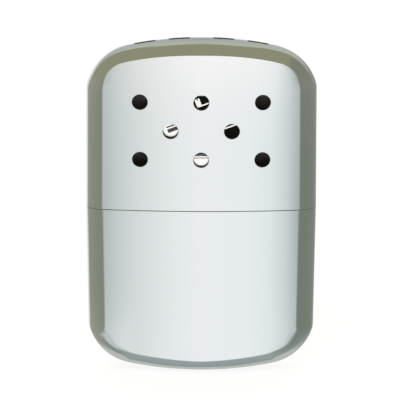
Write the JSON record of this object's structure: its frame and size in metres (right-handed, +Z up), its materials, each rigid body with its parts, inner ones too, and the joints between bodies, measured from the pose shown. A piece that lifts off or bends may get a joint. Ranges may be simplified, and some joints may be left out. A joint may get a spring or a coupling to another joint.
{
  "type": "catalytic hand warmer",
  "caption": "Flat chromed pocket hand warmer: a vented lid slides up off a fuel tank, and a catalytic burner lifts off its oblong filler neck.",
  "frame": {"origin": "middle of the case's foot, where it stands", "axes": "+Z up the case, the vented front faces -Y, +X to the right seen from the front"},
  "size_m": [0.067, 0.0144, 0.1004],
  "materials": {
    "case_chrome": "high-polish chrome plate on drawn steel",
    "collar_steel": "plain plated steel, lightly brushed where the lid slides",
    "deck_steel": "plain plated steel",
    "neck_brass": "drawn brass tube, bright",
    "wick_felt": "pressed wool felt",
    "cotton_wadding": "loose cotton wadding",
    "burner_steel": "bright stamped steel sheet",
    "rivet_steel": "bright steel",
    "catalyst_fibre": "platinum-coated glass fibre mat, dark grey"
  },
  "bodies": {
    "base": {"tank_shell": "case_chrome", "tank_collar": "collar_steel", "tank_deck": "deck_steel", "filler_neck": "neck_brass", "neck_strainer": "deck_steel", "wick_felt": "wick_felt", "cotton_front": "cotton_wadding", "cotton_core": "cotton_wadding", "cotton_rear": "cotton_wadding"},
    "lid": {"lid_shell": "case_chrome"},
    "burner": {"burner_skirt": "burner_steel", "vapour_plate": "burner_steel", "base_rivets": "rivet_steel", "front_guard": "burner_steel", "rear_guard": "burner_steel", "left_clip": "burner_steel", "right_clip": "burner_steel", "mat_tray": "burner_steel", "catalyst_front": "catalyst_fibre", "catalyst_rear": "catalyst_fibre", "burner_cap": "burner_steel"}
  },
  "joints": [
    {"name": "lid_slide", "type": "slide", "parent": "base", "child": "lid", "axis": [0, 0, 1], "range_m": [0, 0.05]},
    {"name": "burner_lift", "type": "slide", "parent": "base", "child": "burner", "axis": [0, 0, 1], "range_m": [0, 0.005]}
  ]
}
